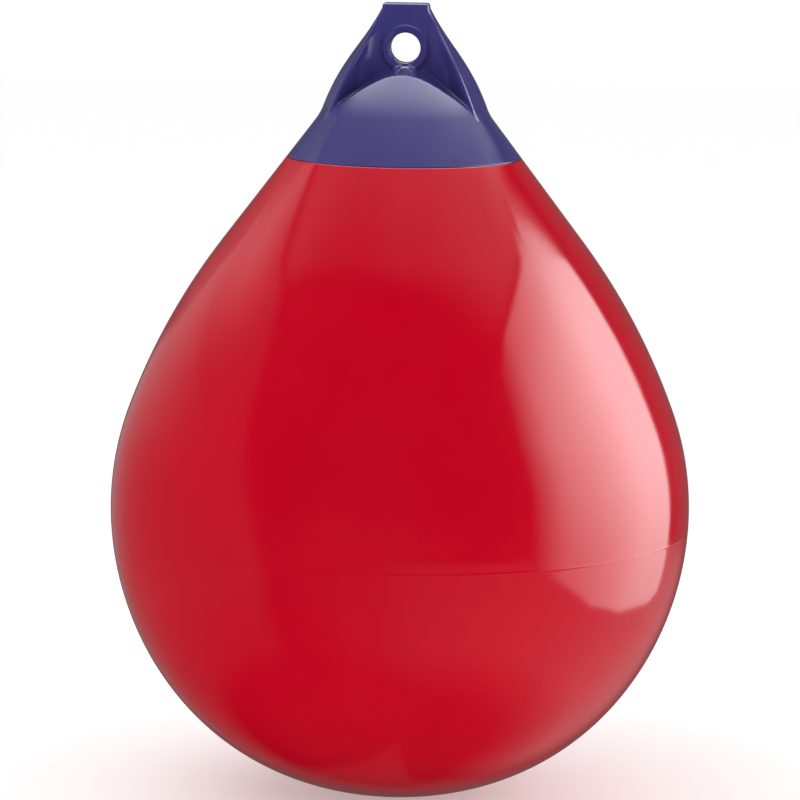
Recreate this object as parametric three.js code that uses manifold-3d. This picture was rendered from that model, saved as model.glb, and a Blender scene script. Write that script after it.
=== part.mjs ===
// Ball fender: a drop-shaped inflated vinyl buoy that hangs from a solid moulded rope hold.
// Millimetres, +Z up. The origin is the centre of the rope eye, and the eye runs along Y.
import * as THREE from 'three';
import { mergeVertices } from 'three/addons/utils/BufferGeometryUtils.js';
import Module from 'manifold-3d';

const wasm = await Module();
wasm.setup();

// Body: a ball, a shoulder arc tangent to it, and a straight cone up to the rope hold
const ballRadius = 275;
const shoulderStart = 20.2;      // latitude on the ball where the shoulder arc begins, degrees
const shoulderRadius = 615;
const coneAngle = 37.2;          // half angle of the cone, degrees
const haunchRise = 3.2;          // the lower half is this much fuller than a true ball
const haunchSkew = 1.3;          // above 1 moves the fullest place down
const bodyWall = 2.6;
const seamDrop = 14;             // parting line of the mould, below the ball's centre
const seamWidth = 3;
const seamHeight = 0.5;

// Rope hold: it carries the cone on upwards and stands on the body's neck
const apexRise = 42.5;           // point where the cone would close, above the eye
const ringRadius = 110.3;        // joint between body and rope hold
const skirtThickness = 8;
const neckDrop = 70;             // top of the body's neck, below the eye
const neckRound = 5;
const crownHeight = 41.6;
const barHalfWidth = 22;         // bar over the eye, and the pad that runs down beside it
const barHalfDepth = 11;
const padDrop = 8;
const barRound = 3;
const barBevel = 2;
const barLap = 0.5;              // the flanges start this far inside the bar's faces
const webHalf = 8;               // wall that is left between the front and the back pocket

// Side flanges: their outline from the front, and how deep they stand from front to back
const flangeTop = 38;
const flangeFootRadius = 81.2;
const flangeBite = 0.8;          // the outline ends this far under the cone's surface
const flangeUpperPull = [17.6, -37.3];
const flangeLowerPull = [-18.8, 54.3];
const flangeFootDepth = 38.5;
const flangeFootDrop = 54.6;
const depthUpperPull = [-3.3, -28.7];
const depthLowerPull = [-5.7, 51.2];
const landWidth = 3.5;           // front edge of a flange

// Pockets between the flanges, and the arched floor under them
const pocketTop = 36;
const pocketTopHalf = 20.5;
const pocketFootHalf = 42;
const archDrop = 17.3;           // top of the arch at the web, below the eye
const archHeight = 19;
const archBend = 22;
const rimDrop = 24;              // top of the arch at the outer rim, below the eye
const rimHeight = 33;
const rimBend = 40;
const archStart = 12;            // distances from the middle where the two arches are measured
const rimStart = 50;
const archHalfSpan = 66;

// Rope eye
const eyeRadius = 14.1;
const eyeRound = 3;
const bossRadius = 21;
const bossRise = 1.5;
const bossBevel = 1;

// Inflation valve, square to the cone at the back of the rope hold
const valveFromRing = 18.8;      // the valve's axis stands this far in from the joint
const valveFlangeRadius = 15;
const valveFlangeThickness = 2.7;
const valveSeatDepth = 3.2;
const valveBarrelRadius = 8.5;
const valveBarrelLength = 13;
const valveBarb = 1.2;
const valveBarbLength = 2.4;
const valveBore = 5;
const screwHeadRadius = 9;
const screwHeadThickness = 2.4;
const screwHeadSink = 1.5;       // depth of the cup in the valve's flange
const screwShankLength = 10;
const slotWidth = 1.8;
const slotDepth = 1.2;
const sealThickness = 0.8;
const sealWidth = 3;

const clearance = 0.3;
const around = 48;               // facets around a turned piece

const rad = THREE.MathUtils.degToRad;
const tanCone = Math.tan(rad(coneAngle));
const alongCone = new THREE.Vector2(-Math.sin(rad(coneAngle)), Math.cos(rad(coneAngle)));
const outOfCone = new THREE.Vector2(Math.cos(rad(coneAngle)), Math.sin(rad(coneAngle)));
const coneRadiusAt = (z) => (apexRise - z) * tanCone;
const coneHeightAt = (r) => apexRise - r / tanCone;
const onCone = (r) => new THREE.Vector2(r, coneHeightAt(r));
const shifted = (point, up, out) => point.clone().addScaledVector(alongCone, up).addScaledVector(outOfCone, out);

function solidFrom(geometry) {
  const bare = geometry.clone();
  bare.deleteAttribute('normal');
  bare.deleteAttribute('uv');
  const merged = mergeVertices(bare.index ? bare.toNonIndexed() : bare, 1e-4);
  const ids = merged.index.array;
  const place = merged.attributes.position.array;
  const triangles = [];
  let volume = 0;
  for (let i = 0; i < ids.length; i += 3) {
    const [a, b, c] = [ids[i], ids[i + 1], ids[i + 2]];
    if (a === b || b === c || c === a) continue;
    triangles.push(a, b, c);
    const [p, q, r] = [a, b, c].map((id) => new THREE.Vector3().fromArray(place, id * 3));
    volume += p.dot(q.cross(r));
  }
  if (volume < 0) triangles.reverse();
  return new wasm.Manifold(new wasm.Mesh({
    numProp: 3,
    vertProperties: new Float32Array(place),
    triVerts: new Uint32Array(triangles),
  }));
}

function meshFrom(solid, name, material) {
  const { vertProperties, triVerts } = solid.getMesh();
  const geometry = new THREE.BufferGeometry();
  geometry.setAttribute('position', new THREE.BufferAttribute(new Float32Array(vertProperties), 3));
  geometry.setIndex(new THREE.BufferAttribute(new Uint32Array(triVerts), 1));
  geometry.computeVertexNormals();
  const mesh = new THREE.Mesh(geometry, material);
  mesh.name = name;
  return mesh;
}

// A profile of [radius, height] points turned about Z
function turned(points, facets = around) {
  const profile = points.map((p) => (p.isVector2 ? p : new THREE.Vector2(p[0], p[1])));
  return new THREE.LatheGeometry(profile, facets).rotateX(Math.PI / 2);
}

// Points on an arc about (cr, cz), from one angle to another in degrees
function arc(cr, cz, radius, from, to, steps) {
  return Array.from({ length: steps + 1 }, (_, i) => {
    const t = rad(from + ((to - from) * i) / steps);
    return new THREE.Vector2(cr + radius * Math.cos(t), cz + radius * Math.sin(t));
  });
}

// Body
const tangentPoint = new THREE.Vector2(Math.cos(rad(shoulderStart)), Math.sin(rad(shoulderStart)));
const shoulderCentre = tangentPoint.clone().multiplyScalar(ballRadius - shoulderRadius);
const shoulderEnd = shoulderCentre.clone().addScaledVector(outOfCone, shoulderRadius);
const ballHeight = coneHeightAt(shoulderEnd.x) - shoulderEnd.y;   // the cone starts where the arc ends
const seamAngle = THREE.MathUtils.radToDeg(Math.asin(-seamDrop / ballRadius));
const seamHalf = THREE.MathUtils.radToDeg(seamWidth / 2 / ballRadius);

const ring = onCone(ringRadius);
const neckTop = -neckDrop;
const valveRadiusOnCone = ringRadius - valveFromRing;
const neckDepth = skirtThickness + clearance;

// Lower half of the ball: an arc that is pushed outwards at the haunch
const haunch = (wall) => arc(0, 0, 1, -90, seamAngle - seamHalf, 16).map((p) => {
  const down = Math.atan2(-p.y, p.x) / (Math.PI / 2);
  const radius = ballRadius - wall + haunchRise * Math.sin(Math.PI * down ** haunchSkew) ** 2;
  return p.multiplyScalar(radius).add(new THREE.Vector2(0, ballHeight));
});

// Outline of the ball, the shoulder and the cone, moved inwards by a wall
const drop = (wall) => [
  ...haunch(wall),
  ...(wall ? [] : arc(0, ballHeight, ballRadius + seamHeight, seamAngle - seamHalf / 3, seamAngle + seamHalf / 3, 1)),
  ...arc(0, ballHeight, ballRadius - wall, seamAngle + seamHalf, shoulderStart, 4),
  ...arc(shoulderCentre.x, shoulderCentre.y + ballHeight, shoulderRadius - wall, shoulderStart, coneAngle, 4).slice(1),
];
// Point on a line that runs beside the cone at a depth, at a height or at a radius
const besideCone = (depth, z) => new THREE.Vector2(coneRadiusAt(z) - depth / Math.cos(rad(coneAngle)), z);

function neck(depth, top) {
  const corner = besideCone(depth, top);
  return [besideCone(depth, top - neckRound), new THREE.Vector2(corner.x - neckRound * 0.4, top - neckRound * 0.2),
    new THREE.Vector2(corner.x - neckRound * 1.2, top), new THREE.Vector2(0, top)];
}

const outside = solidFrom(turned([
  ...drop(0), ring, shifted(ring, 0, -neckDepth), ...neck(neckDepth, neckTop),
]));
const inside = solidFrom(turned([
  ...drop(bodyWall),
  shifted(ring, -(neckDepth + bodyWall * 2), -bodyWall),
  shifted(ring, -bodyWall * 0.4, -(neckDepth + bodyWall)),
  ...neck(neckDepth + bodyWall, neckTop - bodyWall),
]));

// The valve's own axis: local +Z points out of the cone, and local Z = 0 lies on its surface
const valvePoint = onCone(valveRadiusOnCone);
const valveFrame = new THREE.Matrix4().makeRotationX(rad(coneAngle) - Math.PI / 2)
  .setPosition(0, valvePoint.x, valvePoint.y);
const atValve = (geometry) => solidFrom(geometry.clone().applyMatrix4(valveFrame));
const portDepth = neckDepth + bodyWall + valveBarrelLength;
const valveCut = atValve(turned([
  [0, -portDepth], [valveBarrelRadius + clearance, -portDepth], [valveBarrelRadius + clearance, -valveSeatDepth],
  [valveFlangeRadius + clearance, -valveSeatDepth], [valveFlangeRadius + clearance, portDepth], [0, portDepth],
], 40));
const body = outside.subtract(inside).subtract(valveCut);

// Rope hold: the part under the pockets, from the joint ring up to the arched floor
const floorAt = (x, y) => {
  const reach = Math.min(Math.abs(x), archHalfSpan);
  const atWeb = -archDrop - archHeight * (Math.hypot(1, reach / archBend) - 1);
  const atRim = -rimDrop - rimHeight * (Math.hypot(1, reach / rimBend) - 1);
  return atWeb + ((atRim - atWeb) * (Math.abs(y) - archStart)) / (rimStart - archStart);
};
const floorBase = coneHeightAt(ringRadius * 1.2);
const floorReach = ringRadius * 1.2;
const floorShape = new THREE.Shape([
  new THREE.Vector2(-floorReach, floorBase),
  new THREE.Vector2(floorReach, floorBase),
  new THREE.Vector2(floorReach, floorAt(floorReach, 0)),
  ...Array.from({ length: 25 }, (_, i) => {
    const x = archHalfSpan * (1 - i / 12);
    return new THREE.Vector2(x, floorAt(x, 0));
  }),
  new THREE.Vector2(-floorReach, floorAt(floorReach, 0)),
]);
const floorBlock = new THREE.ExtrudeGeometry(floorShape, { depth: floorReach * 2, steps: 2, bevelEnabled: false })
  .translate(0, 0, -floorReach).rotateX(Math.PI / 2);
const floorPlace = floorBlock.attributes.position;
for (let i = 0; i < floorPlace.count; i++) {
  const [x, y, z] = [floorPlace.getX(i), floorPlace.getY(i), floorPlace.getZ(i)];
  const share = (z - floorBase) / (floorAt(x, 0) - floorBase);
  floorPlace.setZ(i, floorBase + share * (floorAt(x, y) - floorBase));
}
const cavityTop = neckTop + clearance;
const cavityWall = neck(skirtThickness, cavityTop).reverse();
const core = solidFrom(turned([
  ...cavityWall, shifted(ring, clearance, -skirtThickness), shifted(ring, clearance, 0), [0, apexRise],
])).intersect(solidFrom(floorBlock));

// Flanges and web: one turned outline, cut to the flanges' depth, with a pocket at the front and the back
const flangeFoot = shifted(onCone(flangeFootRadius), 0, -flangeBite);
const pulled = (from, pull) => new THREE.Vector2(from.x + pull[0], from.y + pull[1]);
const flangeStart = new THREE.Vector2(barHalfWidth - barLap, flangeTop);
const flangeCurve = new THREE.CubicBezierCurve(
  flangeStart, pulled(flangeStart, flangeUpperPull), pulled(flangeFoot, flangeLowerPull), flangeFoot);
const depthStart = new THREE.Vector2(barHalfDepth - barLap, flangeTop);
const depthFoot = new THREE.Vector2(flangeFootDepth, -flangeFootDrop);
const depthCurve = new THREE.CubicBezierCurve(
  depthStart, pulled(depthStart, depthUpperPull), pulled(depthFoot, depthLowerPull), depthFoot);
const flangePoints = flangeCurve.getPoints(14);
const depthPoints = depthCurve.getPoints(12);

// Value of a falling curve of points at a height
function widthAt(points, z) {
  for (let i = 1; i < points.length; i++) {
    if (points[i].y <= z || i === points.length - 1) {
      const [p, q] = [points[i - 1], points[i]];
      return p.x + ((q.x - p.x) * (z - p.y)) / (q.y - p.y);
    }
  }
  return points[0].x;
}

const foundation = flangeFoot.y - clearance * 10;     // the flanges root this deep in the solid below
const flangeBlank = solidFrom(turned([
  [0, foundation], [flangeFoot.x - landWidth, foundation], ...flangePoints.slice().reverse(),
  [0, flangeTop],
]).rotateZ(Math.PI / around));   // its facets lie across those of the part below
const wedgeSide = [
  new THREE.Vector2(depthStart.x, crownHeight), ...depthPoints,
  new THREE.Vector2(widthAt(depthPoints, foundation * 1.1), foundation * 1.1),
];
const wedgeShape = new THREE.Shape([
  ...wedgeSide, ...wedgeSide.slice().reverse().map((p) => new THREE.Vector2(-p.x, p.y)),
]);
const wedge = new THREE.ExtrudeGeometry(wedgeShape, { depth: floorReach * 2, bevelEnabled: false })
  .translate(0, 0, -floorReach).rotateX(Math.PI / 2).rotateZ(Math.PI / 2);

const pocketFoot = foundation * 1.15;
const pocketHalfAt = (z) => pocketTopHalf
  + ((pocketFootHalf - pocketTopHalf) * (pocketTop - z)) / (pocketTop + flangeFootDrop);
const landEdgeAt = (z) => {
  const radius = widthAt(flangePoints, Math.max(z, flangeFoot.y));
  return Math.max(Math.sqrt(Math.max(radius ** 2 - widthAt(depthPoints, z) ** 2, 0)) - landWidth, pocketHalfAt(z));
};
const pocketHeights = Array.from({ length: 15 }, (_, i) => pocketTop + ((pocketFoot - pocketTop) * i) / 14);
const pocketSide = pocketHeights.map((z) => new THREE.Vector2(pocketHalfAt(z), z));
const pocketShape = new THREE.Shape([
  ...pocketSide, ...pocketSide.slice().reverse().map((p) => new THREE.Vector2(-p.x, p.y)),
]);
function pocket(side) {
  const block = new THREE.ExtrudeGeometry(pocketShape, { depth: rimStart * 1.3, bevelEnabled: false });
  block.rotateX(Math.PI / 2).translate(0, -webHalf, 0);
  const place = block.attributes.position;
  for (let i = 0; i < place.count; i++) {
    const [x, y, z] = [place.getX(i), place.getY(i), place.getZ(i)];
    const spread = landEdgeAt(z) / pocketHalfAt(z) - 1;
    place.setX(i, x * (1 + (spread * (-y - webHalf)) / (widthAt(depthPoints, z) - webHalf)));
  }
  return solidFrom(side > 0 ? block.rotateZ(Math.PI) : block);
}
const flanges = flangeBlank.intersect(solidFrom(wedge)).subtract(pocket(-1)).subtract(pocket(1));

// Bar and pad: a rounded block from the crown down beside the eye
function roundedRectangle(halfX, halfY, round) {
  const shape = new THREE.Shape();
  shape.moveTo(halfX, -halfY + round);
  shape.lineTo(halfX, halfY - round);
  shape.absarc(halfX - round, halfY - round, round, 0, Math.PI / 2);
  shape.lineTo(-halfX + round, halfY);
  shape.absarc(-halfX + round, halfY - round, round, Math.PI / 2, Math.PI);
  shape.lineTo(-halfX, -halfY + round);
  shape.absarc(-halfX + round, -halfY + round, round, Math.PI, Math.PI * 1.5);
  shape.lineTo(halfX - round, -halfY);
  shape.absarc(halfX - round, -halfY + round, round, Math.PI * 1.5, Math.PI * 2);
  return shape;
}
const barDepth = crownHeight + padDrop - barBevel * 2;
const bar = new THREE.ExtrudeGeometry(
  roundedRectangle(barHalfWidth - barBevel, barHalfDepth - barBevel, barRound),
  { depth: barDepth, bevelThickness: barBevel, bevelSize: barBevel, bevelSegments: 2, curveSegments: 4 },
).translate(0, 0, -padDrop + barBevel);

// Boss and eye, turned about Y
const bossFace = barHalfDepth + bossRise;
const boss = turned([
  [0, -bossFace], [bossRadius - bossBevel, -bossFace], [bossRadius, -bossFace + bossBevel],
  [bossRadius, bossFace - bossBevel], [bossRadius - bossBevel, bossFace], [0, bossFace],
], 40).rotateX(Math.PI / 2);
const mouth = arc(eyeRadius + eyeRound, -bossFace + eyeRound, eyeRound, 270, 180, 4);
const eye = turned([
  [0, -bossFace * 2], [eyeRadius + eyeRound, -bossFace * 2], ...mouth,
  ...mouth.map((p) => new THREE.Vector2(p.x, -p.y)).reverse(), [eyeRadius + eyeRound, bossFace * 2], [0, bossFace * 2],
], 40).rotateX(Math.PI / 2);

const ropeHold = core.add(flanges).add(solidFrom(bar)).add(solidFrom(boss)).subtract(solidFrom(eye)).subtract(valveCut);

// Valve: a bush with a cup for the screw's head, and a barb that snaps in behind the body's wall
const flangeLow = -valveSeatDepth + clearance;
const flangeHigh = flangeLow + valveFlangeThickness;
const cupFloor = flangeHigh - screwHeadSink;
const wallDepth = neckDepth + bodyWall;
const wallCurve = (valveBarrelRadius + valveBarb) ** 2 / (2 * (valveRadiusOnCone - wallDepth));
const barbHigh = -(wallDepth + wallCurve + clearance);
const barrelLow = flangeLow - valveBarrelLength;
const valveBody = atValve(turned([
  [valveBore, barrelLow], [valveBarrelRadius, barrelLow],
  [valveBarrelRadius, barbHigh - valveBarbLength], [valveBarrelRadius + valveBarb, barbHigh - valveBarbLength / 3],
  [valveBarrelRadius + valveBarb, barbHigh], [valveBarrelRadius, barbHigh], [valveBarrelRadius, flangeLow],
  [valveFlangeRadius, flangeLow], [valveFlangeRadius, flangeHigh - bossBevel / 2],
  [valveFlangeRadius - bossBevel / 2, flangeHigh], [screwHeadRadius + clearance, flangeHigh],
  [screwHeadRadius + clearance, cupFloor], [valveBore, cupFloor], [valveBore, barrelLow],
], 40));
const sealLow = cupFloor + clearance;
const sealInner = valveBore + clearance;
const valveSeal = atValve(turned([
  [sealInner, sealLow], [sealInner + sealWidth, sealLow], [sealInner + sealWidth, sealLow + sealThickness],
  [sealInner, sealLow + sealThickness], [sealInner, sealLow],
], 32));
const headLow = sealLow + sealThickness + clearance;
const headHigh = headLow + screwHeadThickness;
const slot = new THREE.BoxGeometry(screwHeadRadius * 3, slotWidth, slotDepth * 2).translate(0, 0, headHigh);
const valveScrew = atValve(turned([
  [0, headLow - screwShankLength], [valveBore - clearance * 2, headLow - screwShankLength],
  [valveBore - clearance, headLow - screwShankLength + clearance * 2], [valveBore - clearance, headLow],
  [screwHeadRadius, headLow], [screwHeadRadius, headHigh - bossBevel],
  [screwHeadRadius - bossBevel, headHigh], [0, headHigh],
], 32)).subtract(atValve(slot));

const redVinyl = new THREE.MeshStandardMaterial({ color: 0xc00522, roughness: 0.22, metalness: 0 });
const blueVinyl = new THREE.MeshStandardMaterial({ color: 0x2c2667, roughness: 0.3, metalness: 0 });
const whiteNylon = new THREE.MeshStandardMaterial({ color: 0xe6e4dc, roughness: 0.45, metalness: 0 });
const blueNylon = new THREE.MeshStandardMaterial({ color: 0x2a3f86, roughness: 0.4, metalness: 0 });
const blackRubber = new THREE.MeshStandardMaterial({ color: 0x161616, roughness: 0.8, metalness: 0 });

const fender = new THREE.Group();
fender.add(
  meshFrom(body, 'body', redVinyl),
  meshFrom(ropeHold, 'rope_hold', blueVinyl),
  meshFrom(valveBody, 'valve_body', whiteNylon),
  meshFrom(valveScrew, 'valve_screw', blueNylon),
  meshFrom(valveSeal, 'valve_seal', blackRubber),
);

export default fender;
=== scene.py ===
import math

import bpy
import numpy as np
from mathutils import Matrix, Vector


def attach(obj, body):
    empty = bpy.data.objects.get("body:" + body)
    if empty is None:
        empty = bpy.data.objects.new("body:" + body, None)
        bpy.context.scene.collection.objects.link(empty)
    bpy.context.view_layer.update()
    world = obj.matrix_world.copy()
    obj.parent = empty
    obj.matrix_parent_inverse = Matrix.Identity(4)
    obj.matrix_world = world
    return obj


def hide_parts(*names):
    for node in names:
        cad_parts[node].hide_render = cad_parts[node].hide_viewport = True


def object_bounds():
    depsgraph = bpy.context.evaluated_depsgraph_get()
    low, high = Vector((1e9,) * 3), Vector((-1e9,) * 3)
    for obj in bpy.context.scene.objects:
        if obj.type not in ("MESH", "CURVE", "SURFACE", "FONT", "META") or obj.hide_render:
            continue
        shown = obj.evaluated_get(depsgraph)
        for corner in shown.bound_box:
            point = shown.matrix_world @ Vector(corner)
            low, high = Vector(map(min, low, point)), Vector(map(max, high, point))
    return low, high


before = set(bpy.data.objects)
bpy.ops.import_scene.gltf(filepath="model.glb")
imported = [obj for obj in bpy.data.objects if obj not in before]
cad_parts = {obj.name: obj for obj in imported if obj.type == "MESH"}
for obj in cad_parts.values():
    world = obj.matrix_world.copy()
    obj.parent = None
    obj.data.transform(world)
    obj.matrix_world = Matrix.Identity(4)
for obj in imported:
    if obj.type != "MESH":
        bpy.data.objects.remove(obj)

cadLow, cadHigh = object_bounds()
mm = 0.001
print("frame loaded, nodes:", ", ".join(sorted(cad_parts)))


# Small helpers for making meshes.

def newPiece(name, points, faces, material, normals=None):
    # faces are lists of point numbers, or one array of them
    mesh = bpy.data.meshes.new(name)
    points = np.asarray(points, np.float32)
    counts = np.array([len(f) for f in faces], np.int32)
    corners = np.concatenate(list(faces)).astype(np.int32)
    mesh.vertices.add(len(points))
    mesh.vertices.foreach_set("co", points.ravel())
    mesh.loops.add(len(corners))
    mesh.loops.foreach_set("vertex_index", corners)
    mesh.polygons.add(len(counts))
    mesh.polygons.foreach_set("loop_start", np.concatenate([[0], np.cumsum(counts)[:-1]]).astype(np.int32))
    mesh.polygons.foreach_set("use_smooth", np.ones(len(counts), bool))
    mesh.update(calc_edges=True)
    mesh.validate()
    if normals is not None:
        mesh.normals_split_custom_set_from_vertices(normals)
    piece = bpy.data.objects.new(name, mesh)
    bpy.context.scene.collection.objects.link(piece)
    mesh.materials.append(material)
    return piece


def turnedMesh(loop, segments, shape=None):
    # a closed outline of (radius, height) points turned about Z; points on the axis become one vertex
    loop = np.asarray(loop, float)
    angles = np.linspace(0, 2 * math.pi, segments, endpoint=False)
    points, rows = [], []
    for r, z in loop:
        if r < 1e-9:
            rows.append([len(points)] * segments)
            points.append((0, 0, z))
            continue
        rows.append(list(range(len(points), len(points) + segments)))
        for a in angles:
            rr, zz = shape(r, z, a) if shape else (r, z)
            points.append((rr * math.cos(a), rr * math.sin(a), zz))
    faces = []
    for i in range(len(rows)):
        low, high = rows[i], rows[(i + 1) % len(rows)]
        if low[0] == low[1] and high[0] == high[1]:
            continue
        for j in range(segments):
            k = (j + 1) % segments
            face = [low[j], low[k], high[k], high[j]]
            face = [v for n, v in enumerate(face) if v not in face[:n]]
            faces.append(face)
    return np.array(points), faces


def arcPoints(cr, cz, radius, start, end, steps):
    t = np.radians(np.linspace(start, end, steps + 1))
    return list(zip(cr + radius * np.cos(t), cz + radius * np.sin(t)))


def roundedLoop(loop, radii, steps=5):
    # the corners of a closed outline swapped for arcs
    out, n = [], len(loop)
    for i, (point, radius) in enumerate(zip(loop, radii)):
        before, here, after = (np.array(loop[(i + d) % n], float) for d in (-1, 0, 1))
        if radius <= 0:
            out.append(tuple(here))
            continue
        a, b = before - here, after - here
        la, lb = np.linalg.norm(a), np.linalg.norm(b)
        a, b = a / la, b / lb
        half = math.acos(max(-1.0, min(1.0, float(a @ b)))) / 2
        reach = min(radius / math.tan(half), la * 0.49, lb * 0.49)
        start, end = here + a * reach, here + b * reach
        for t in np.linspace(0, 1, steps + 1):
            out.append(tuple((1 - t) ** 2 * start + 2 * t * (1 - t) * here + t * t * end))
    return out


# Vinyl, nylon and rubber finishes.

def finish(name, colour, roughness, settings):
    # moulded plastic or rubber with a soft colour drift, an uneven gloss and a fine pebble
    material = bpy.data.materials.new(name)
    material.use_nodes = True
    nodes, links = material.node_tree.nodes, material.node_tree.links
    shader = nodes["Principled BSDF"]
    place = nodes.new("ShaderNodeTexCoord")

    def noise(scale, detail, rough=0.5):
        n = nodes.new("ShaderNodeTexNoise")
        n.inputs["Scale"].default_value = scale
        n.inputs["Detail"].default_value = detail
        n.inputs["Roughness"].default_value = rough
        links.new(place.outputs["Object"], n.inputs["Vector"])
        return n.outputs["Fac"]

    def spread(value, low, high, outLow, outHigh):
        n = nodes.new("ShaderNodeMapRange")
        n.inputs["From Min"].default_value = low
        n.inputs["From Max"].default_value = high
        n.inputs["To Min"].default_value = outLow
        n.inputs["To Max"].default_value = outHigh
        links.new(value, n.inputs["Value"])
        return n.outputs["Result"]

    ramp = nodes.new("ShaderNodeMix")
    ramp.data_type = "RGBA"
    shade = settings["drift"]
    ramp.inputs["A"].default_value = (*[c * (1 - shade) for c in colour], 1)
    ramp.inputs["B"].default_value = (*[c * (1 + shade) for c in colour], 1)
    links.new(spread(noise(settings["driftScale"], 3), 0.35, 0.65, 0, 1), ramp.inputs["Factor"])
    links.new(ramp.outputs["Result"], shader.inputs["Base Color"])
    gloss = spread(noise(settings["glossScale"], 4, 0.6), 0.3, 0.7, roughness * 0.85, roughness * 1.2)
    links.new(gloss, shader.inputs["Roughness"])
    bump = nodes.new("ShaderNodeBump")
    bump.inputs["Strength"].default_value = settings["pebble"]
    bump.inputs["Distance"].default_value = settings["pebbleDepth"]
    links.new(noise(settings["pebbleScale"], 2), bump.inputs["Height"])
    links.new(bump.outputs["Normal"], shader.inputs["Normal"])
    shader.inputs["IOR"].default_value = 1.5
    return material


redVinyl = finish("redVinyl", (0.482, 0.0002, 0.0128), 0.10,
                  {"drift": 0.03, "driftScale": 6, "glossScale": 9,
                   "pebble": 0.06, "pebbleDepth": 0.0006, "pebbleScale": 55})
blueVinyl = finish("blueVinyl", (0.040, 0.034, 0.162), 0.15,
                   {"drift": 0.06, "driftScale": 20, "glossScale": 30,
                    "pebble": 0.10, "pebbleDepth": 0.0004, "pebbleScale": 320})
whiteNylon = finish("whiteNylon", (0.74, 0.72, 0.66), 0.38,
                    {"drift": 0.04, "driftScale": 90, "glossScale": 160,
                     "pebble": 0.15, "pebbleDepth": 0.0002, "pebbleScale": 1500})
blueNylon = finish("blueNylon", (0.03, 0.06, 0.26), 0.34,
                   {"drift": 0.08, "driftScale": 90, "glossScale": 160,
                    "pebble": 0.15, "pebbleDepth": 0.0002, "pebbleScale": 1500})
blackRubber = finish("blackRubber", (0.014, 0.014, 0.015), 0.7,
                     {"drift": 0.15, "driftScale": 150, "glossScale": 200,
                      "pebble": 0.3, "pebbleDepth": 0.0002, "pebbleScale": 2500})
print("materials made")


# The inflated drop: a ball, a shoulder and a cone up to the joint ring.

drop = {                     # millimetres and degrees
    "ballRadius": 275.0,
    "shoulderStart": 20.2,
    "shoulderRadius": 615.0,
    "coneAngle": 37.2,
    "apexRise": 42.5,
    "ringRadius": 110.3,     # joint under the rope hold
    "ringRound": 0.7,
    "wall": 2.6,
    "seamDrop": 14.0,        # parting line below the widest part
    "seamHeight": 0.16,
    "seamWidth": 2.2,
    "seamSharpness": 0.42,
    "skinDrop": 0.05,        # keeps the drawn skin just inside the solid one
    "haunchRise": 3.2,       # the lower half is this much fuller than a true ball
    "haunchSkew": 1.3,       # above 1 moves the fullest place down
    "neckDrop": 70.0,
    "neckDepth": 8.3,
    "neckRound": 5.0,
    "segments": 288,
    "belowSteps": 74,        # points up the outline below the parting line, over it, above it and on the shoulder
    "seamSteps": 13,
    "aboveSteps": 24,
    "shoulderSteps": 16,
    "innerSegments": 96,     # the hidden inside is coarser
    "innerSteps": 49,
    "innerShoulderSteps": 10,
}

coneAngle = math.radians(drop["coneAngle"])
coneTan, coneSin, coneCos = math.tan(coneAngle), math.sin(coneAngle), math.cos(coneAngle)
tangent = np.array([math.cos(math.radians(drop["shoulderStart"])), math.sin(math.radians(drop["shoulderStart"]))])
shoulderCentre = tangent * (drop["ballRadius"] - drop["shoulderRadius"])
shoulderEnd = shoulderCentre + drop["shoulderRadius"] * np.array([coneCos, coneSin])
ballHeight = (drop["apexRise"] - shoulderEnd[0] / coneTan) - shoulderEnd[1]
ringHeight = drop["apexRise"] - drop["ringRadius"] / coneTan


def besideCone(depth, z):
    return ((drop["apexRise"] - z) * coneTan - depth / coneCos, z)


def onRing(up, out):
    return (drop["ringRadius"] - coneSin * up + coneCos * out, ringHeight + coneCos * up + coneSin * out)


def fullness(angle):
    # how far the lower half stands outside a true ball, at an angle in degrees from the widest part
    return drop["haunchRise"] * math.sin(math.pi * (max(-angle, 0) / 90) ** drop["haunchSkew"]) ** 2


def dropOutline(inward):
    # from the bottom of the ball up to the cone; the parting bead is on the outer skin only
    d = drop

    def shoulder(radius, count):
        return arcPoints(shoulderCentre[0], shoulderCentre[1] + ballHeight, radius,
                         d["shoulderStart"], d["coneAngle"], count)[1:]

    if inward > 0:
        line = []
        for a in np.linspace(-90, d["shoulderStart"], d["innerSteps"]):
            r = d["ballRadius"] - inward + fullness(a)
            line.append((r * math.cos(math.radians(a)), ballHeight + r * math.sin(math.radians(a))))
        return line + shoulder(d["shoulderRadius"] - inward, d["innerShoulderSteps"])
    seamAngle = math.degrees(math.asin(-d["seamDrop"] / d["ballRadius"]))
    half = math.degrees(d["seamWidth"] / d["ballRadius"])
    angles = np.concatenate([np.linspace(-90, seamAngle - half, d["belowSteps"])[:-1],
                             np.linspace(seamAngle - half, seamAngle + half, d["seamSteps"]),
                             np.linspace(seamAngle + half, d["shoulderStart"], d["aboveSteps"])[1:]])
    line = []
    for a in angles:
        bead = d["seamHeight"] * math.exp(-((a - seamAngle) / (half * d["seamSharpness"])) ** 2)
        r = d["ballRadius"] - d["skinDrop"] + bead + fullness(a)
        line.append((r * math.cos(math.radians(a)), ballHeight + r * math.sin(math.radians(a))))
    return line + shoulder(d["shoulderRadius"] - d["skinDrop"], d["shoulderSteps"])


def neckOutline(depth, top):
    # the neck's upper edge, rounded over to its flat top
    reach = drop["neckRound"]
    low, corner = np.array(besideCone(depth, top - reach)), np.array(besideCone(depth, top))
    end = np.array((corner[0] - reach * 1.2, top))
    line = [tuple((1 - t) ** 2 * low + 2 * t * (1 - t) * corner + t * t * end) for t in np.linspace(0, 1, 7)]
    return line + [(0, top)]


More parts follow.
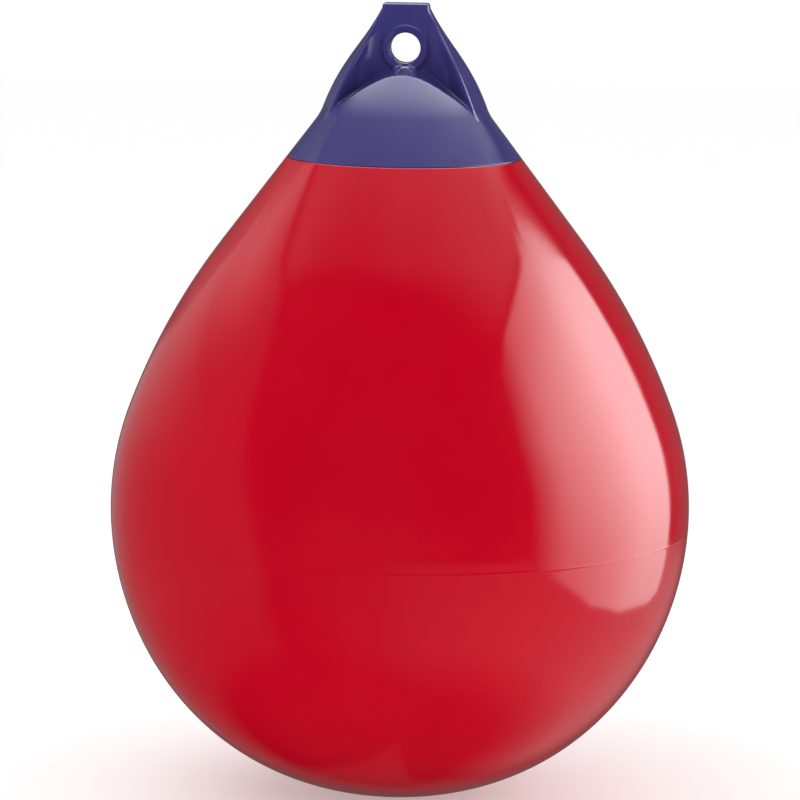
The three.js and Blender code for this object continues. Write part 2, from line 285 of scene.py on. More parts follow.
def makeBody():
    d = drop
    outer = dropOutline(0)
    lip = d["ringRound"]
    outer += [onRing(-4, 0), onRing(-1.5, 0), onRing(-lip, 0), onRing(-lip * 0.3, -lip * 0.3 * 0.5),
              onRing(0, -lip), onRing(0, -2), onRing(0, -d["neckDepth"] + 1), onRing(0, -d["neckDepth"])]
    outer += neckOutline(d["neckDepth"], -d["neckDrop"])
    inner = dropOutline(d["wall"])
    inner += [onRing(-(d["neckDepth"] + d["wall"] * 2), -d["wall"]),
              onRing(-d["wall"] * 0.4, -(d["neckDepth"] + d["wall"]))]
    inner += neckOutline(d["neckDepth"] + d["wall"], -d["neckDrop"] - d["wall"])
    outerPoints, outerFaces = turnedMesh(np.array(outer) * mm, d["segments"])
    innerPoints, innerFaces = turnedMesh(np.array(inner) * mm, d["innerSegments"])
    faces = outerFaces + [[v + len(outerPoints) for v in reversed(f)] for f in innerFaces]
    return newPiece("ballBody", np.vstack([outerPoints, innerPoints]), faces, redVinyl)


ballBody = makeBody()


# The valve sits on the back of the cone, its axis square to the surface.

valve = {                    # millimetres
    "onCone": 91.5,
    "flangeRadius": 15.0,
    "flangeThickness": 2.7,
    "seatDepth": 3.2,
    "barrelRadius": 8.5,
    "barrelLength": 13.0,
    "barb": 1.2,
    "barbLength": 2.4,
    "bore": 5.0,
    "headRadius": 9.0,
    "headThickness": 2.4,
    "headSink": 1.5,
    "shankLength": 10.0,
    "threadPitch": 1.25,
    "threadDepth": 0.55,
    "threadTip": 0.8,        # plain ends of the shank
    "threadRunOut": 0.6,
    "threadRows": 60,
    "slotWidth": 1.8,
    "slotDepth": 1.2,
    "sealThickness": 0.8,
    "sealWidth": 3.0,
    "gap": 0.3,
    "segments": 96,
}
valveHeight = drop["apexRise"] - valve["onCone"] / coneTan
valveAxis = np.array([0, coneCos, coneSin])
valvePoint = np.array([0, valve["onCone"], valveHeight])
valvePlace = Matrix.Translation(Vector(valvePoint * mm)) @ Matrix.Rotation(coneAngle - math.pi / 2, 4, "X")
portDepth = drop["neckDepth"] + drop["wall"] + valve["barrelLength"]


def cutAway(piece, cutter, solver):
    # takes the cutter's shape out of a piece's mesh, and the cutter goes
    bpy.context.view_layer.update()
    cut = piece.modifiers.new("cut", "BOOLEAN")
    cut.operation, cut.object, cut.solver = "DIFFERENCE", cutter, solver
    graph = bpy.context.evaluated_depsgraph_get()
    mesh = bpy.data.meshes.new_from_object(piece.evaluated_get(graph))
    piece.modifiers.clear()
    piece.data = mesh
    bpy.data.objects.remove(cutter)


def cutPort(piece):
    # round hole for the valve's barrel through the body's neck
    r = (valve["barrelRadius"] + valve["gap"]) * mm
    loop = [(0, -portDepth * mm), (r, -portDepth * mm), (r, 0.01), (0, 0.01)]
    points, faces = turnedMesh(loop, valve["segments"])
    cutter = newPiece("portCutter", points, faces, redVinyl)
    cutter.matrix_world = valvePlace
    cutAway(piece, cutter, "MANIFOLD")


cutPort(ballBody)
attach(ballBody, "root")
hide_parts("body")
print("body made:", len(ballBody.data.polygons), "faces")


# The rope hold is one moulding. A field tells how far a point is from its skin, and a mesh is drawn over it.

hold = {                     # millimetres and degrees
    "skirtThickness": 8.0,
    "ringGap": 0.3,
    "crownHeight": 41.6,
    "crownArcStart": 62.0,   # the dome starts to round over this far below the eye
    "crownArcRadius": 190.0,
    "barHalfWidth": 22.0,
    "barHalfDepth": 11.0,
    "padDrop": 8.0,
    "webHalf": 8.0,
    "barLap": 0.5,           # the flanges start this far inside the bar's faces
    "flangeTop": 40.4,
    "flangeLowest": 70.0,    # and end inside the dome
    "flangeStart": 21.0,
    "flangeFootRadius": 81.2,
    "flangeBite": 0.8,
    "flankBend": 3.0,        # rounds the middle of the flat outer faces
    "flangeUpperPull": (19.1, -39.2),
    "flangeLowerPull": (-18.2, 54.3),
    "flangeFootDepth": 38.5,
    "flangeFootDrop": 54.6,
    "depthUpperPull": (-3.3, -31.0),
    "depthLowerPull": (-5.7, 51.2),
    "landWidth": 2.7,
    "pocketTop": 36.0,
    "pocketTopHalf": 20.5,
    "pocketFootHalf": 42.0,
    "archDrop": 17.3, "archHeight": 19.0, "archBend": 22.0,
    "rimDrop": 24.5, "rimHeight": 33.0, "rimBend": 40.0,
    "archStart": 12.0, "rimStart": 50.0, "archHalfSpan": 66.0,
    "eyeRadius": 14.1,
    "eyeRound": 2.4,         # bell mouth of the eye
    "bossRadius": 21.4,
    "bossRise": 1.5,
    "dishRadius": 20.2,      # the ring round the eye is dished inside this
    "dishSlope": 0.5,
    "pocketRound": 12.0,
    "edgeRound": 2.0,
    "floorRound": 2.2,
    "rimRound": 1.0,
    "barRound": (4.0, 2.6),  # the bar's upright edges, and its top and bottom ones
    "flangeTopRound": 1.0,
    "bossEdgeRound": 0.9,
    "bossFootRound": 1.0,
    "flangeJoinRound": 1.2,
    "footRound": 0.6,        # edge over the joint ring
    "dishRound": 0.6,
    "seatRound": 0.35,       # edges of the valve's seat and port
    "hiddenRound": 0.5,
}


def bezier(start, startPull, endPull, end, count=80):
    start, end = np.array(start, float), np.array(end, float)
    t = np.linspace(0, 1, count)[:, None]
    return ((1 - t) ** 3 * start + 3 * t * (1 - t) ** 2 * (start + startPull)
            + 3 * t * t * (1 - t) * (end + endPull) + t ** 3 * end)


footPoint = np.array([hold["flangeFootRadius"] - coneCos * hold["flangeBite"],
                      drop["apexRise"] - hold["flangeFootRadius"] / coneTan - coneSin * hold["flangeBite"]])
flangeLine = bezier((hold["flangeStart"], hold["flangeTop"]), hold["flangeUpperPull"],
                    hold["flangeLowerPull"], footPoint)[::-1]
depthLine = bezier((hold["barHalfDepth"] - hold["barLap"], hold["flangeTop"]), hold["depthUpperPull"],
                   hold["depthLowerPull"], (hold["flangeFootDepth"], -hold["flangeFootDrop"]))[::-1]


def along(line, z):
    # value and slope of an outline at a height, carried on straight past its ends
    value = np.interp(z, line[:, 1], line[:, 0])
    slopes = np.gradient(line[:, 0], line[:, 1])
    slope = np.interp(z, line[:, 1], slopes)
    value = value + np.minimum(z - line[0, 1], 0) * slopes[0]
    return value, slope


def joinRound(a, b, r):
    # two solids together, with a fillet of radius r between them
    return np.maximum(r, np.minimum(a, b)) - np.hypot(np.maximum(r - a, 0), np.maximum(r - b, 0))


def shareRound(a, b, r):
    # what two solids share, its edge rounded by r
    return np.minimum(-r, np.maximum(a, b)) + np.hypot(np.maximum(r + a, 0), np.maximum(r + b, 0))


def holdField(x, y, z):
    # distance to the moulding's skin in millimetres, below zero inside
    h, d = hold, drop
    ax, ay = np.abs(x), np.abs(y)
    radius = np.hypot(x, y)
    # dome, rounding over towards its top
    over = np.clip((z + h["crownArcStart"]) / coneCos, 0, None)
    side = (radius - (d["apexRise"] - z) * coneTan) * coneCos + over ** 2 / (2 * h["crownArcRadius"])
    reach = np.minimum(ax, h["archHalfSpan"])
    atWeb = -h["archDrop"] - h["archHeight"] * (np.hypot(1, reach / h["archBend"]) - 1)
    atRim = -h["rimDrop"] - h["rimHeight"] * (np.hypot(1, reach / h["rimBend"]) - 1)
    floor = atWeb + (atRim - atWeb) * (ay - h["archStart"]) / (h["rimStart"] - h["archStart"])
    slope = h["archHeight"] / h["archBend"] * (reach / h["archBend"]) / np.hypot(1, reach / h["archBend"])
    above = (z - floor) / np.hypot(1, slope)
    core = shareRound(side, above, h["rimRound"])
    up = -coneSin * (radius - d["ringRadius"]) + coneCos * (z - ringHeight)
    core = shareRound(core, h["ringGap"] - up, h["footRound"])
    # side flanges
    wide, wideSlope = along(flangeLine, z)
    deep, deepSlope = along(depthLine, z)
    # outer faces are flat and narrow a little towards the front and back
    inset = wide - np.sqrt(np.maximum(wide ** 2 - deep ** 2, 0))
    length = np.maximum(np.hypot(deep, h["flankBend"]) - h["flankBend"], 0.5)
    taper = np.minimum((np.hypot(ay, h["flankBend"]) - h["flankBend"]) / length, 1.3)
    turn = inset * ay / np.hypot(ay, h["flankBend"]) / length
    flank = (ax - wide + inset * taper) / np.sqrt(1 + wideSlope ** 2 + turn ** 2)
    front = (ay - deep) / np.hypot(1, deepSlope)
    flange = shareRound(shareRound(flank, front, h["edgeRound"]), z - h["flangeTop"], h["flangeTopRound"])
    flange = np.maximum(flange, -h["flangeLowest"] - z)
    # pockets between the flanges, opening out towards the front
    down = (h["pocketTop"] - z) / (h["pocketTop"] + h["flangeFootDrop"])
    topHalf = h["pocketTopHalf"] + (h["pocketFootHalf"] - h["pocketTopHalf"]) * down
    landHalf = np.maximum(np.sqrt(np.maximum(wide ** 2 - deep ** 2, 0)) - h["landWidth"], topHalf)
    share = np.clip((ay - h["webHalf"]) / np.maximum(deep - h["webHalf"], 0.5), 0, 3)
    half = topHalf + (landHalf - topHalf) * share
    lean = (landHalf - topHalf) / np.maximum(deep - h["webHalf"], 0.5)
    pocket = shareRound((ax - half) / np.hypot(1, lean), h["webHalf"] - ay, h["pocketRound"])
    flange = shareRound(flange, -pocket, h["edgeRound"] * 0.6)
    # bar and pad
    middle, tall = (h["crownHeight"] - h["padDrop"]) / 2, (h["crownHeight"] + h["padDrop"]) / 2
    upright, level = h["barRound"]
    bar = shareRound(ax - h["barHalfWidth"], ay - h["barHalfDepth"], upright)
    bar = shareRound(bar, np.abs(z - middle) - tall, level)
    solid = joinRound(flange, bar, h["flangeJoinRound"])
    # raised ring round the eye, dished towards the hole
    eye = np.hypot(x, z)
    face = ay - (h["barHalfDepth"] + h["bossRise"])
    boss = shareRound(eye - h["bossRadius"], face, h["bossEdgeRound"])
    solid = joinRound(solid, boss, h["bossFootRound"])
    rim = eye - h["dishRadius"]
    steep = h["dishSlope"]
    dish = shareRound(rim, (rim - face / steep) * steep / math.hypot(1, steep), h["dishRound"])
    solid = shareRound(solid, -dish, h["hiddenRound"])
    solid = joinRound(solid, core, h["floorRound"])
    solid = shareRound(solid, h["eyeRadius"] - eye, h["eyeRound"])
    # hollow over the body's neck
    cavity = shareRound(side + h["skirtThickness"], z + d["neckDrop"] - h["ringGap"], d["neckRound"])
    solid = shareRound(solid, -cavity, h["hiddenRound"])
    # seat and port of the valve
    out = y * valveAxis[1] + (z - valveHeight) * valveAxis[2] - valve["onCone"] * valveAxis[1]
    off = np.sqrt(np.maximum(x ** 2 + (y - valve["onCone"]) ** 2 + (z - valveHeight) ** 2 - out ** 2, 0))
    seat = np.maximum(off - (valve["flangeRadius"] + valve["gap"]), -valve["seatDepth"] - out)
    port = np.maximum(off - (valve["barrelRadius"] + valve["gap"]), -portDepth - out)
    return shareRound(solid, -np.minimum(seat, port), h["seatRound"])


def gridLines(*spans):
    # a start, then spans of (end, spacing) laid one after another
    lines = [spans[0]]
    for end, spacing in spans[1:]:
        count = max(1, round((end - lines[-1]) / spacing))
        lines += list(np.linspace(lines[-1], end, count + 1)[1:])
    return np.array(lines)


# The grid starts at the first number, and each pair gives where a span ends and how far apart its lines are.
grid = {                     # millimetres
    "sideways": (0, (48, 1.15), (60, 1.35), (84, 2.0), (104, 3.0), (115, 1.1)),
    "frontToBack": (0, (44, 1.15), (84, 2.2), (104, 3.0), (115, 1.1)),
    "upward": (-112.5, (-102, 0.9), (-66, 2.2), (44, 1.15)),
    "turnStart": 60,         # from here outwards the square grid turns round
    "turnWidth": 44,
    "pulls": 3,              # times that the points move on to the skin
    "pullLimit": 0.5,
    "wholeLimit": 0.9,
    "reach": 0.05,           # how far apart the field is read for its slope
    "normalReach": 0.12,
}


def skinField():
    # a grid that is square in the middle and turns round towards the rim, fine where the moulding has detail
    outward = gridLines(*grid["sideways"])
    u = np.concatenate([-outward[:0:-1], outward])
    outward = gridLines(*grid["frontToBack"])
    v = np.concatenate([-outward[:0:-1], outward])
    w = gridLines(*grid["upward"])

    def roundOut(a, b):
        m, e = np.maximum(np.abs(a), np.abs(b)), np.hypot(a, b)
        t = np.clip((m - grid["turnStart"]) / grid["turnWidth"], 0, 1)
        t = t * t * (3 - 2 * t)
        k = 1 + t * (m / np.maximum(e, 1e-9) - 1)
        return a * k, b * k

    gu, gv = np.meshgrid(u, v, indexing="ij")
    gx, gy = roundOut(gu, gv)
    values = np.empty((len(u), len(v), len(w)), np.float32)
    for k, z in enumerate(w):
        values[:, :, k] = holdField(gx, gy, np.full_like(gx, z))
    inside = values < 0
    total = np.zeros(tuple(n - 1 for n in inside.shape), np.int8)
    for i in (0, 1):
        for j in (0, 1):
            for k in (0, 1):
                total += inside[i:inside.shape[0] - 1 + i, j:inside.shape[1] - 1 + j, k:inside.shape[2] - 1 + k]
    # one point in each cell that the skin crosses, at the middle of its crossings
    ci, cj, ck = np.nonzero((total > 0) & (total < 8))
    ids = np.full(total.shape, -1, np.int32)
    ids[ci, cj, ck] = np.arange(len(ci))
    points, hits = np.zeros((len(ci), 3)), np.zeros(len(ci))
    corners = [(i, j, k) for i in (0, 1) for j in (0, 1) for k in (0, 1)]
    for a in corners:
        for axis in range(3):
            if a[axis]:
                continue
            b = tuple(1 if n == axis else a[n] for n in range(3))
            ia, ja, ka = ci + a[0], cj + a[1], ck + a[2]
            ib, jb, kb = ci + b[0], cj + b[1], ck + b[2]
            va, vb = values[ia, ja, ka], values[ib, jb, kb]
            cross = (va < 0) != (vb < 0)
            t = np.where(cross, va / np.where(cross, va - vb, 1), 0)[:, None]
            pa = np.stack([gx[ia, ja], gy[ia, ja], w[ka]], 1)
            pb = np.stack([gx[ib, jb], gy[ib, jb], w[kb]], 1)
            points += np.where(cross[:, None], pa + (pb - pa) * t, 0)
            hits += cross
    points /= hits[:, None]
    # one face across each grid edge that the skin crosses
    faces = []
    for axis in range(3):
        lowEnd = [slice(None)] * 3
        highEnd = [slice(None)] * 3
        lowEnd[axis], highEnd[axis] = slice(0, -1), slice(1, None)
        change = inside[tuple(lowEnd)] != inside[tuple(highEnd)]
        e = np.array(np.nonzero(change)).T
        other = [n for n in range(3) if n != axis]
        keep = np.ones(len(e), bool)
        for n in other:
            keep &= (e[:, n] > 0) & (e[:, n] < inside.shape[n] - 1)
        e = e[keep]
        quad = []
        for da, db in ((1, 1), (0, 1), (0, 0), (1, 0)):
            c = e.copy()
            c[:, other[0]] -= da
            c[:, other[1]] -= db
            quad.append(ids[c[:, 0], c[:, 1], c[:, 2]])
        quad = np.stack(quad, 1)
        start = inside[tuple(e.T)]
        flip = start if axis != 1 else ~start
        quad[~flip] = quad[~flip][:, ::-1]
        faces.append(quad)
    faces = np.concatenate(faces)

    def gradient(p, step):
        g = np.empty_like(p)
        for n in range(3):
            shift = np.zeros(3)
            shift[n] = step
            high, low = (p + shift).T, (p - shift).T
            g[:, n] = (holdField(*high) - holdField(*low)) / (2 * step)
        return g

    # the points then move on to the skin itself
    start = points.copy()
    for _ in range(grid["pulls"]):
        g = gradient(points, grid["reach"])
        move = -holdField(*points.T)[:, None] * g / np.maximum((g ** 2).sum(1), 0.2)[:, None]
        length = np.linalg.norm(move, axis=1)[:, None]
        points += move * np.minimum(1, grid["pullLimit"] / np.maximum(length, 1e-9))
    away = points - start
    length = np.linalg.norm(away, axis=1)[:, None]
    points = start + away * np.minimum(1, grid["wholeLimit"] / np.maximum(length, 1e-9))
    normals = gradient(points, grid["normalReach"])
    normals /= np.linalg.norm(normals, axis=1)[:, None]
    return points, faces, normals


skinPoints, skinFaces, skinNormals = skinField()
ropeHold = newPiece("ropeHold", skinPoints * mm, skinFaces, blueVinyl, skinNormals)
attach(ropeHold, "root")
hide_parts("rope_hold")
print("rope hold made:", len(skinFaces), "faces")


# Bush, seal and screw of the valve.

def valvePiece(name, loop, material, node, shape=None):
    points, faces = turnedMesh(np.array(loop) * mm, valve["segments"], shape)
    piece = newPiece(name, points, faces, material)
    piece.data.transform(valvePlace)
    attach(piece, "root")
    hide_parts(node)
    return piece


v = valve
flangeLow = -v["seatDepth"] + v["gap"]
flangeHigh = flangeLow + v["flangeThickness"]
cupFloor = flangeHigh - v["headSink"]
wallDepth = drop["neckDepth"] + drop["wall"]
wallCurve = (v["barrelRadius"] + v["barb"]) ** 2 / (2 * (v["onCone"] - wallDepth))  # the wall bends away under the barb
barbHigh = -(wallDepth + wallCurve + v["gap"])
barrelLow = flangeLow - v["barrelLength"]
barbRadius = v["barrelRadius"] + v["barb"]
cupRadius = v["headRadius"] + v["gap"]
bushLoop = [(v["bore"], barrelLow), (v["barrelRadius"], barrelLow), (v["barrelRadius"], barbHigh - v["barbLength"]),
            (barbRadius, barbHigh - v["barbLength"] / 3), (barbRadius, barbHigh), (v["barrelRadius"], barbHigh),
            (v["barrelRadius"], flangeLow), (v["flangeRadius"], flangeLow), (v["flangeRadius"], flangeHigh),
            (cupRadius, flangeHigh), (cupRadius, cupFloor), (v["bore"], cupFloor)]
bushRadii = [0.4, 0.4, 0.2, 0.2, 0.2, 0.15, 0.3, 0.4, 0.6, 0.4, 0.2, 0.3]
bush = valvePiece("valveBush", roundedLoop(bushLoop, bushRadii), whiteNylon, "valve_body")
sealLow = cupFloor + v["gap"]
sealInner = v["bore"] + v["gap"]
sealLoop = [(sealInner, sealLow), (sealInner + v["sealWidth"], sealLow),
            (sealInner + v["sealWidth"], sealLow + v["sealThickness"]), (sealInner, sealLow + v["sealThickness"])]
seal = valvePiece("valveSeal", roundedLoop(sealLoop, [0.35] * 4), blackRubber, "valve_seal")
headLow = sealLow + v["sealThickness"] + v["gap"]
headHigh = headLow + v["headThickness"]
shankLow = headLow - v["shankLength"]


def screwShape(r, z, a):
    # thread on the shank
    z0, r0 = z / mm, r / mm
    if shankLow + v["threadTip"] < z0 < headLow - v["threadRunOut"] and r0 > 3:
        turn = (z0 / v["threadPitch"] - a / (2 * math.pi)) % 1
        return (r0 - v["threadDepth"] * abs(2 * turn - 1)) * mm, z
    return r, z


screwLoop = [(0, shankLow), (v["bore"] - 2 * v["gap"], shankLow)]
screwLoop += [(v["bore"] - v["gap"], z) for z in np.linspace(shankLow + 0.6, headLow, v["threadRows"])]
screwLoop += [(v["headRadius"], headLow), (v["headRadius"], headHigh), (0, headHigh)]
screwRadii = [0, 0.2] + [0] * v["threadRows"] + [0.25, 0.8, 0]
screw = valvePiece("valveScrew", roundedLoop(screwLoop, screwRadii), blueNylon,
                   "valve_screw", screwShape)


def cutSlot(piece):
    # a slot for a coin across the screw's head
    x, y, z = valve["headRadius"] * 1.5 * mm, valve["slotWidth"] / 2 * mm, valve["slotDepth"] * mm
    points = [(sx * x, sy * y, headHigh * mm + sz * z) for sx in (-1, 1) for sy in (-1, 1) for sz in (-1, 1)]
    faces = [[0, 1, 3, 2], [4, 6, 7, 5], [0, 4, 5, 1], [2, 3, 7, 6], [0, 2, 6, 4], [1, 5, 7, 3]]
    cutter = newPiece("slotCutter", points, faces, blueNylon)
    cutter.data.transform(valvePlace)
    cutAway(piece, cutter, "EXACT")


cutSlot(screw)
print("valve made")


# Floor, lights and camera.

studio = {
    "floorHeight": cadLow.z,     # metres
    "floorSize": 60.0,
    "fill": 0.89,                # plain light from all round
    "floorGlow": 0.4,            # what the pale table throws up at the object
    "boxLevel": 1.0,             # the big soft box on the right
    "wallLevel": 1.0,            # the pale wall on the left
    "tableLevel": 1.0,
    "ceilingLevel": 1.0,
    "sideLamp": 7.0,             # watts
    "topLamp": 8.5,
    "lowLamp": 1.5,
    "floorLift": 0.33,           # keeps the floor's shadow faint to the camera
    "floorSeen": (0.76, 0.76, 0.76, 1),      # its colour to the camera, and to the light it throws back
    "floorColour": (0.85, 0.85, 0.84, 1),
}


def bell(value, middle, width):
    return math.exp(-((value - middle) / width) ** 2)


def ease(value, low, high):
    t = min(1.0, max(0.0, (value - low) / (high - low)))
    return t * t * (3 - 2 * t)


def panel(name, spans, level, distance, spacing, top=None, foot=None):
    # a curved studio panel that shows only in reflections; spans are degrees round from the front and up,
    # and top and foot, where given, bound it instead of the last two
    a0, a1, e0, e1 = spans
    across, tall = round((a1 - a0) / spacing), round((e1 - e0) / spacing)
    middle = Vector((0, 0, -0.35))   # inside the ball
    points, faces, glow = [], [], []
    for j in range(tall + 1):
        for i in range(across + 1):
            a = a0 + (a1 - a0) * i / across
            low, high = foot(a) if foot else e0, top(a) if top else e1
            e = low + (high - low) * j / tall
            ra, re = math.radians(a), math.radians(e)
            outward = Vector((math.sin(ra) * math.cos(re), -math.cos(ra) * math.cos(re), math.sin(re)))
            points.append(middle + distance * outward)
            glow.append(level(a, e))
    for j in range(tall):
        for i in range(across):
            k = j * (across + 1) + i
            faces.append([k, k + 1, k + across + 2, k + across + 1])
    glowingMesh(name, points, faces, glow)


def card(name, corners, height, level, spacing):
    # a flat level panel that shows only in reflections
    x0, x1, y0, y1 = corners
    xs = np.linspace(x0, x1, round((x1 - x0) / spacing) + 1)
    ys = np.linspace(y0, y1, round((y1 - y0) / spacing) + 1)
    points = [(x, y, height) for y in ys for x in xs]
    glow = [level(x, y) for x, y, z in points]
    n = len(xs)
    starts = [j * n + i for j in range(len(ys) - 1) for i in range(n - 1)]
    faces = [[k, k + 1, k + n + 1, k + n] for k in starts]
    glowingMesh(name, points, [f for f in faces if max(glow[v] for v in f) > 0], glow)


def glowingMesh(name, points, faces, glow):
    mesh = bpy.data.meshes.new(name)
    mesh.from_pydata(points, [], faces)
    mesh.attributes.new("glow", "FLOAT", "POINT").data.foreach_set("value", np.array(glow, np.float32))
    material = bpy.data.materials.new(name)
    material.use_nodes = True
    material.cycles.emission_sampling = "NONE"
    nodes, links = material.node_tree.nodes, material.node_tree.links
    nodes.remove(nodes["Principled BSDF"])
    shine = nodes.new("ShaderNodeEmission")
    read = nodes.new("ShaderNodeAttribute")
    read.attribute_name = "glow"
    links.new(read.outputs["Fac"], shine.inputs["Strength"])
    links.new(shine.outputs["Emission"], nodes["Material Output"].inputs["Surface"])
    mesh.materials.append(material)
    piece = bpy.data.objects.new(name, mesh)
    bpy.context.scene.collection.objects.link(piece)
    piece.visible_camera = piece.visible_diffuse = piece.visible_shadow = piece.visible_transmission = False


# In these functions a is degrees round from the front, to the right, and e is degrees up.

def boxTop(a):
    # upper edge of the soft box
    return np.interp(a, [58, 67, 81, 92, 100, 106, 115, 122, 128, 132, 136],
                     [39, 44, 46.6, 47, 46.3, 44.4, 40.3, 36, 32, 29, 25.5])


def boxFoot(a):
    # lower edge of the soft box
    return np.interp(a, [58, 65, 70, 90, 110, 130, 136], [-15, -18, -20, -27, -27, -23, -20])


def boxGlow(a, e):
    # fades in from its near side and is brightest a little above the middle
    level = np.interp(a, [57, 62, 66, 70, 75, 84, 94, 104, 112, 120, 126, 133, 137],
                      [0.15, 1.1, 2.1, 3.2, 4.1, 5.1, 6.1, 6.8, 7.0, 6.3, 5.3, 4.5, 4.2])
    return studio["boxLevel"] * level * np.interp(e, [-29, -15, 5, 18, 24, 31, 36, 40, 46],
                                                  [0.40, 0.55, 0.86, 0.95, 1.0, 0.93, 0.78, 0.62, 0.5])


def wallGlow(a, e):
    # the left wall is brightest towards its top and far end, with a dimmer return behind that
    near = np.interp(e, [-34, -17, 0, 17, 27, 34, 38.5, 42, 45], [-53, -51, -54.5, -62, -68, -71, -75, -80, -88])
    far = np.interp(e, [-14, -2, 7, 13, 18, 23, 25.5, 28, 30.5, 33, 40, 46],
                    [-160, -158, -144, -139, -137, -134, -130, -127, -124, -120.5, -113, -108])
    base = np.interp(e, [-50, -46, -42, -30, -24, -17], [0.01, 0.04, 0.09, 0.13, 0.17, 0.17])
    crest = np.interp(e, [-20, -5, 5, 15, 25, 32, 36, 41, 46], [0.03, 0.18, 0.24, 0.42, 0.56, 0.84, 0.78, 0.5, 0.35])
    inside = ease(near - a, -5, 5) * ease(46 - e, 0, 2) * ease(e + 52, 0, 6)
    if a > far:
        return inside * (base + crest * bell(a, far, 26 if e < 20 else 21))
    edge = ease(a - far + 2.5, 0, 2.5)
    behind = 0.11 + 0.20 * ease(a - far + 15, 0, 15) * ease(e, 0, 12)
    return inside * ((base + crest) * edge + (1 - edge) * behind)


def tableGlow(a, e):
    # the pale table in front and on the right, darker straight under the fender
    inside = ease(-12 - e, 0, 2) * ease(a + 40, 0, 35) * ease(180 - a, 0, 30)
    level = np.interp(e, [-70, -62, -54, -45, -35, -20, -13], [0.02, 0.12, 0.32, 0.6, 0.62, 0.55, 0.45])
    return inside * level * np.interp(a, [-5, 10, 60, 110, 140, 180], [0.12, 0.35, 0.6, 1.0, 0.9, 0.4])


def ceilingGlow(x, y):
    # a soft ceiling with a big bright lamp in it, in metres right of and behind the object
    front = np.interp(x, [-0.95, -0.5, 0, 0.5, 0.9], [-0.36, -0.52, -0.68, -0.72, -0.78])
    depth = np.interp(x, [0, 0.4, 0.8], [0.34, 0.60, 0.72])
    level = np.interp(x, [-0.95, -0.5, 0, 0.4, 0.7, 0.9], [0.4, 0.52, 0.62, 0.8, 0.66, 0.5])
    level += 0.6 * ease(x, 0.6, 0.85) * ease(y, -0.2, 0.5)
    inside = ease(y - front, 0, depth) * ease(0.93 + 0.12 * max(y, 0) - x, 0, 0.05) * ease(x + 1.0, 0, 0.12)
    rear = np.interp(abs(x - 0.05), [0.35, 0.8], [0.78, 1.0])
    inside *= 1 - 0.95 * ease(y, rear, rear + 0.2)
    fromLamp = math.hypot((x - 0.03) / 0.84, (y - 0.55) / 0.92)
    bright = np.interp(fromLamp, [0, 0.38, 0.6, 0.71, 0.82, 0.92, 1.0, 1.05], [6.4, 6.2, 4.9, 4.0, 2.7, 1.3, 0.7, 0])
    return studio["ceilingLevel"] * inside * max(level, bright)


def roomGlow(a, e):
    # a dark room, a little lighter behind the soft box, behind the wall and underneath
    dim = 0.005 + 0.11 * ease(a, 135, 148) * ease(62 - abs(e), 0, 20)
    dim += 0.06 * ease(-150 - a, 0, 10) * ease(-e, -10, 10) + 0.03 * ease(-e, 50, 70)
    return max(dim, studio["wallLevel"] * wallGlow(a, e), studio["tableLevel"] * tableGlow(a, e))


panel("room", (-180, 180, -90, 90), roomGlow, 9.0, 1.5)
panel("sideBox", (57, 135.6, -26.5, 46), boxGlow, 6.0, 2.0, boxTop, boxFoot)
card("ceiling", (-1.0, 1.1, -0.74, 2.2), 0.65, ceilingGlow, 0.035)


def lamp(name, place, target, width, height, power):
    data = bpy.data.lights.new(name, "AREA")
    data.shape = "RECTANGLE"
    data.size, data.size_y, data.energy = width, height, power
    light = bpy.data.objects.new(name, data)
    bpy.context.scene.collection.objects.link(light)
    light.location = place
    light.rotation_mode = "QUATERNION"
    light.rotation_quaternion = (Vector(target) - Vector(place)).to_track_quat("-Z", "Y")
    light.visible_glossy = False
    return light


lamp("sideLamp", (1.6, -0.5, 0.1), (0, 0, -0.35), 1.6, 1.6, studio["sideLamp"])
lamp("topLamp", (-1.0, -0.35, 1.2), (0, 0, -0.2), 1.6, 1.6, studio["topLamp"])
lamp("lowLamp", (0.0, -1.9, -0.5), (0, 0, -0.55), 2.4, 0.35, studio["lowLamp"])


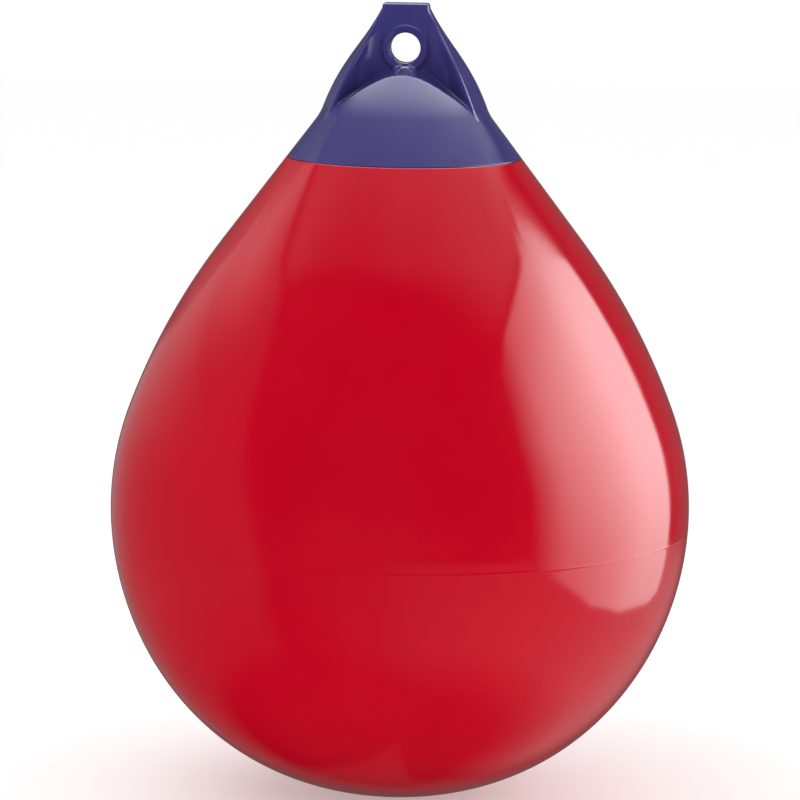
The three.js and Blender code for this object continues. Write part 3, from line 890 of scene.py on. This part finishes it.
def makeFloor():
    material = bpy.data.materials.new("floorPaint")
    material.use_nodes = True
    nodes, links = material.node_tree.nodes, material.node_tree.links
    shader = nodes["Principled BSDF"]
    shader.inputs["Roughness"].default_value = 0.9
    shader.inputs["Specular IOR Level"].default_value = 0.1
    rays = nodes.new("ShaderNodeLightPath")
    seen = nodes.new("ShaderNodeMath")
    seen.operation = "MAXIMUM"
    links.new(rays.outputs["Is Camera Ray"], seen.inputs[0])
    links.new(rays.outputs["Is Transmission Ray"], seen.inputs[1])
    mix = nodes.new("ShaderNodeMix")
    mix.data_type = "RGBA"
    mix.inputs["A"].default_value = studio["floorColour"]
    mix.inputs["B"].default_value = studio["floorSeen"]
    links.new(seen.outputs[0], mix.inputs["Factor"])
    links.new(mix.outputs["Result"], shader.inputs["Base Color"])
    lift = nodes.new("ShaderNodeMath")
    lift.operation = "MULTIPLY"
    lift.inputs[1].default_value = studio["floorLift"]
    links.new(seen.outputs[0], lift.inputs[0])
    bounce = nodes.new("ShaderNodeMath")
    bounce.operation = "MULTIPLY_ADD"
    bounce.inputs[1].default_value = studio["floorGlow"]
    links.new(rays.outputs["Is Diffuse Ray"], bounce.inputs[0])
    links.new(lift.outputs[0], bounce.inputs[2])
    shader.inputs["Emission Color"].default_value = (1, 1, 1, 1)
    links.new(bounce.outputs[0], shader.inputs["Emission Strength"])
    size = studio["floorSize"] / 2
    z = studio["floorHeight"]
    mesh = bpy.data.meshes.new("floor")
    mesh.from_pydata([(-size, -size, z), (size, -size, z), (size, size, z), (-size, size, z)], [], [[0, 1, 2, 3]])
    mesh.materials.append(material)
    floor = bpy.data.objects.new("floor", mesh)
    bpy.context.scene.collection.objects.link(floor)
    floor.visible_glossy = False   # the studio's table panel stands for it in reflections


makeFloor()


def makeWorld():
    world = bpy.data.worlds.new("studioAir")
    bpy.context.scene.world = world
    world.use_nodes = True
    nodes, links = world.node_tree.nodes, world.node_tree.links
    air = nodes["Background"]
    rays = nodes.new("ShaderNodeLightPath")
    seen = nodes.new("ShaderNodeMath")
    seen.operation = "MAXIMUM"
    links.new(rays.outputs["Is Camera Ray"], seen.inputs[0])
    links.new(rays.outputs["Is Glossy Ray"], seen.inputs[1])
    seenToo = nodes.new("ShaderNodeMath")
    seenToo.operation = "MAXIMUM"
    links.new(seen.outputs[0], seenToo.inputs[0])
    links.new(rays.outputs["Is Transmission Ray"], seenToo.inputs[1])
    level = nodes.new("ShaderNodeMapRange")
    level.inputs["To Min"].default_value = studio["fill"]
    level.inputs["To Max"].default_value = 1.0
    links.new(seenToo.outputs[0], level.inputs["Value"])
    links.new(level.outputs["Result"], air.inputs["Strength"])
    air.inputs["Color"].default_value = (1, 1, 1, 1)


makeWorld()

view = {
    "target": (-0.0012, 0, -0.3345),   # metres
    "distance": 4.0,
    "elevation": 8.7,                # degrees
    "turn": 4.25,
    "roll": 0.75,
    "lens": 189.6,
}


def makeCamera():
    data = bpy.data.cameras.new("camera")
    data.lens, data.sensor_width = view["lens"], 36
    data.clip_start, data.clip_end = 0.1, 100
    camera = bpy.data.objects.new("camera", data)
    bpy.context.scene.collection.objects.link(camera)
    a, e = math.radians(view["turn"]), math.radians(view["elevation"])
    back = Vector((math.sin(a) * math.cos(e), -math.cos(a) * math.cos(e), math.sin(e)))
    camera.rotation_mode = "QUATERNION"
    camera.location = Vector(view["target"]) + back * view["distance"]
    turn = (-back).to_track_quat("-Z", "Y").to_matrix() @ Matrix.Rotation(math.radians(view["roll"]), 3, "Z")
    camera.rotation_quaternion = turn.to_quaternion()
    bpy.context.scene.camera = camera


makeCamera()
bpy.context.scene.view_settings.view_transform = "Standard"

print("all made")
